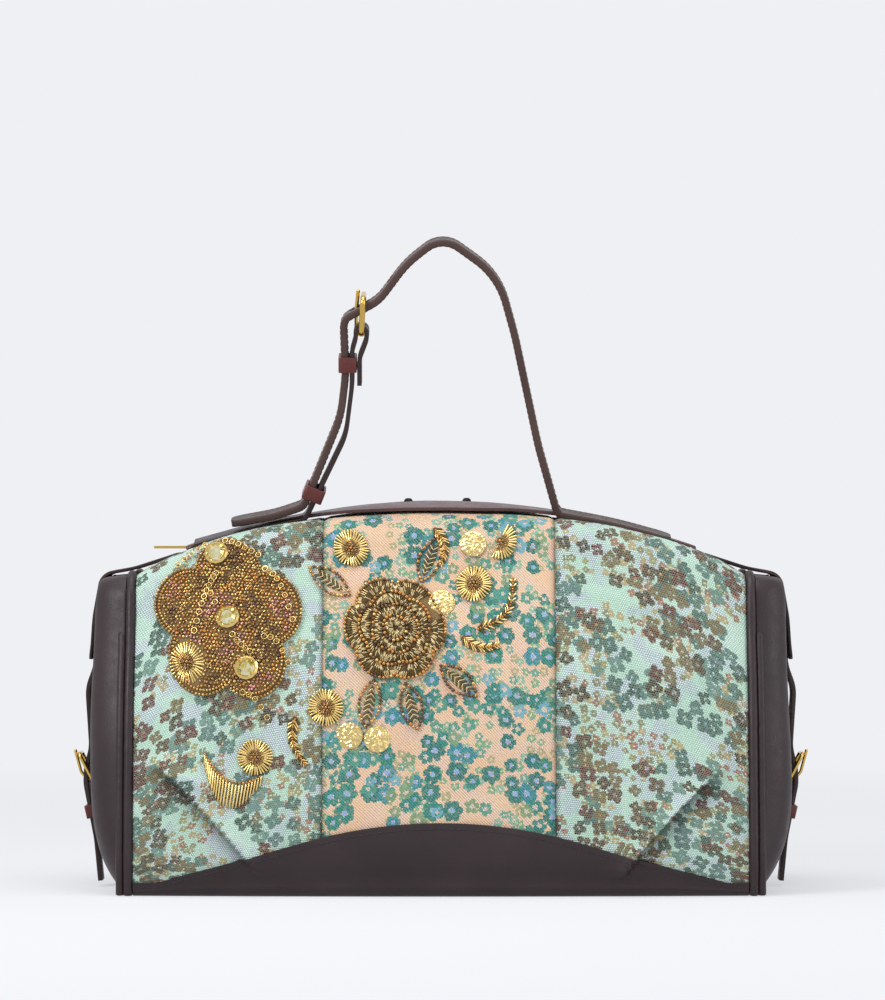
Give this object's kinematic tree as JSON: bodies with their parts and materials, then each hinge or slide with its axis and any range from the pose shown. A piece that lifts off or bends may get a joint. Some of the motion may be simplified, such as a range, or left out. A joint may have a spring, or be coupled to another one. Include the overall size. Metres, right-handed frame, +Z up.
{
  "type": "bowling bag",
  "caption": "Soft bowling bag with an arched zip top, one buckled handle, buckled belts on its gusseted ends and beaded flowers on its front.",
  "frame": {"origin": "on the floor under the middle of the base", "axes": "+X along the bag towards the right-hand end seen from the front, -Y is the beaded front, +Z up"},
  "size_m": [0.4262, 0.1724, 0.3749],
  "materials": {
    "tapestry": "woven",
    "centre_tapestry": "woven",
    "leather": "smooth",
    "keeper_leather": "smooth",
    "board": "matte",
    "lining_cloth": "woven",
    "zip_tape": "woven",
    "gold_metal": "polished",
    "dark_metal": "satin",
    "beads": "glossy",
    "crystal": "polished",
    "gold_beadwork": "glossy",
    "rose_beadwork": "glossy",
    "leaf_beadwork": "glossy"
  },
  "bodies": {
    "root": {"front_left_panel": "tapestry", "front_centre_panel": "centre_tapestry", "front_right_panel": "tapestry", "back_left_panel": "tapestry", "back_centre_panel": "centre_tapestry", "back_right_panel": "tapestry", "base_panel": "leather", "base_board": "board", "lining": "lining_cloth", "left_gusset": "leather", "right_gusset": "leather", "left_front_piping": "leather", "left_back_piping": "leather", "right_front_piping": "leather", "right_back_piping": "leather", "front_zip_band": "leather", "back_zip_band": "leather", "front_zip_tape": "zip_tape", "back_zip_tape": "zip_tape", "front_zip_teeth": "gold_metal", "back_zip_teeth": "gold_metal", "zip_stops": "gold_metal", "band_studs": "dark_metal", "handle_strap": "leather", "handle_buckle_strap": "leather", "handle_fixed_keeper": "keeper_leather", "left_end_tongue": "leather", "right_end_tongue": "leather", "left_side_strap": "leather", "right_side_strap": "leather", "left_side_chape": "leather", "right_side_chape": "leather", "left_side_keeper": "keeper_leather", "right_side_keeper": "keeper_leather", "bugle_rosettes": "beads", "hammered_discs": "gold_metal", "crystals": "crystal", "blossom_applique": "gold_beadwork", "rose_applique": "rose_beadwork", "rose_leaves": "leaf_beadwork"},
    "zip_slider": {"zip_slider": "gold_metal"},
    "zip_puller": {"zip_puller": "gold_metal"},
    "handle_buckle": {"handle_buckle": "gold_metal", "handle_prong": "gold_metal"},
    "left_side_buckle": {"left_side_buckle": "gold_metal", "left_side_prong": "gold_metal"},
    "right_side_buckle": {"right_side_buckle": "gold_metal", "right_side_prong": "gold_metal"},
    "handle_sliding_keeper": {"handle_sliding_keeper": "keeper_leather"}
  },
  "joints": [
    {"name": "zip_slide", "type": "hinge", "parent": "root", "child": "zip_slider", "pos_m": [0, 0, -0.19637], "axis": [0, 1, 0], "range_deg": [0, 40]},
    {"name": "zip_puller_swing", "type": "hinge", "parent": "zip_slider", "child": "zip_puller", "pos_m": [-0.14452, 0, 0.19653], "axis": [0, 1, 0], "range_deg": [-15, 130]},
    {"name": "handle_buckle_swing", "type": "hinge", "parent": "root", "child": "handle_buckle", "pos_m": [-0.0455, -0.03887, 0.32061], "axis": [0, -0.9848, -0.1736], "range_deg": [-4, 4]},
    {"name": "left_buckle_swing", "type": "hinge", "parent": "root", "child": "left_side_buckle", "pos_m": [-0.2003, 0, 0.0596], "axis": [0, 1, 0], "range_deg": [-4, 4]},
    {"name": "right_buckle_swing", "type": "hinge", "parent": "root", "child": "right_side_buckle", "pos_m": [0.2003, 0, 0.0596], "axis": [0, 1, 0], "range_deg": [-4, 4]},
    {"name": "handle_keeper_slide", "type": "slide", "parent": "root", "child": "handle_sliding_keeper", "axis": [0.3778, -0.1608, 0.9118], "range_m": [0, 0.018]}
  ]
}
